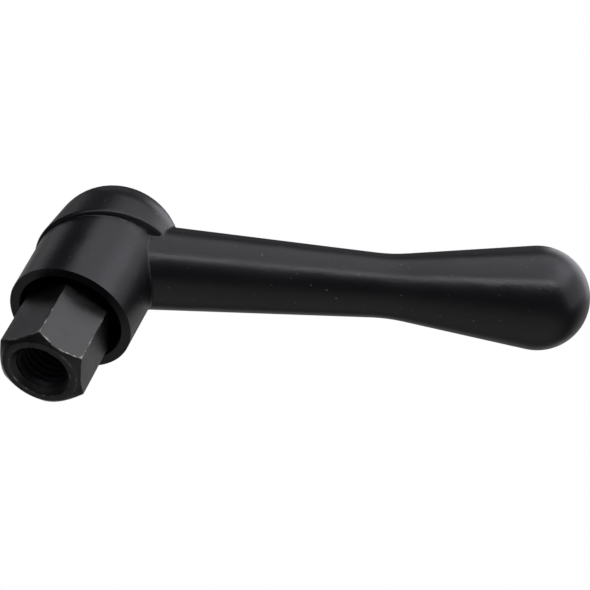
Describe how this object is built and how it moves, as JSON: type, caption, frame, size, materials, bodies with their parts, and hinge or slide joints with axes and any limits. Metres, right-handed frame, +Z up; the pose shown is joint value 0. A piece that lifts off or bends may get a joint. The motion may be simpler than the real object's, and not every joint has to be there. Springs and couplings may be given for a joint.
{
  "type": "adjustable clamping lever",
  "caption": "Clamping lever with a cast hub and a tapered handle with a ball end, on a hexagon insert tapped M12. Lift the lever against its spring to free the teeth and turn it to another position.",
  "frame": {"origin": "centre of the hexagon's end face, on the hub's axis, where the lever bears on what it clamps", "axes": "+Z up the hub's axis from the end face to the head, +X the direction that the handle points in at rest, +Y to the left of the handle"},
  "size_m": [0.1288, 0.0326, 0.0776],
  "materials": {
    "lever": "satin black powder coat on a zinc die casting, with a faint orange peel",
    "insert": "black-oxide steel, worn to bare metal along the hexagon's edges",
    "screw": "black-oxide steel",
    "spring": "drawn spring steel, bare"
  },
  "bodies": {
    "insert": {"threaded_insert": "insert", "retaining_screw": "screw"},
    "spring": {"compression_spring": "spring"},
    "lever": {"lever": "lever"}
  },
  "joints": [
    {"name": "lever_turn", "type": "hinge", "parent": "insert", "child": "spring", "pos_m": [0, 0, 0], "axis": [0, 0, 1], "continuous": true},
    {"name": "lever_lift", "type": "slide", "parent": "spring", "child": "lever", "axis": [0, 0, 1], "range_m": [0, 0.0055], "stiffness_N_per_m": 3000, "springref_m": -0.004, "deforming": ["compression_spring"]}
  ]
}
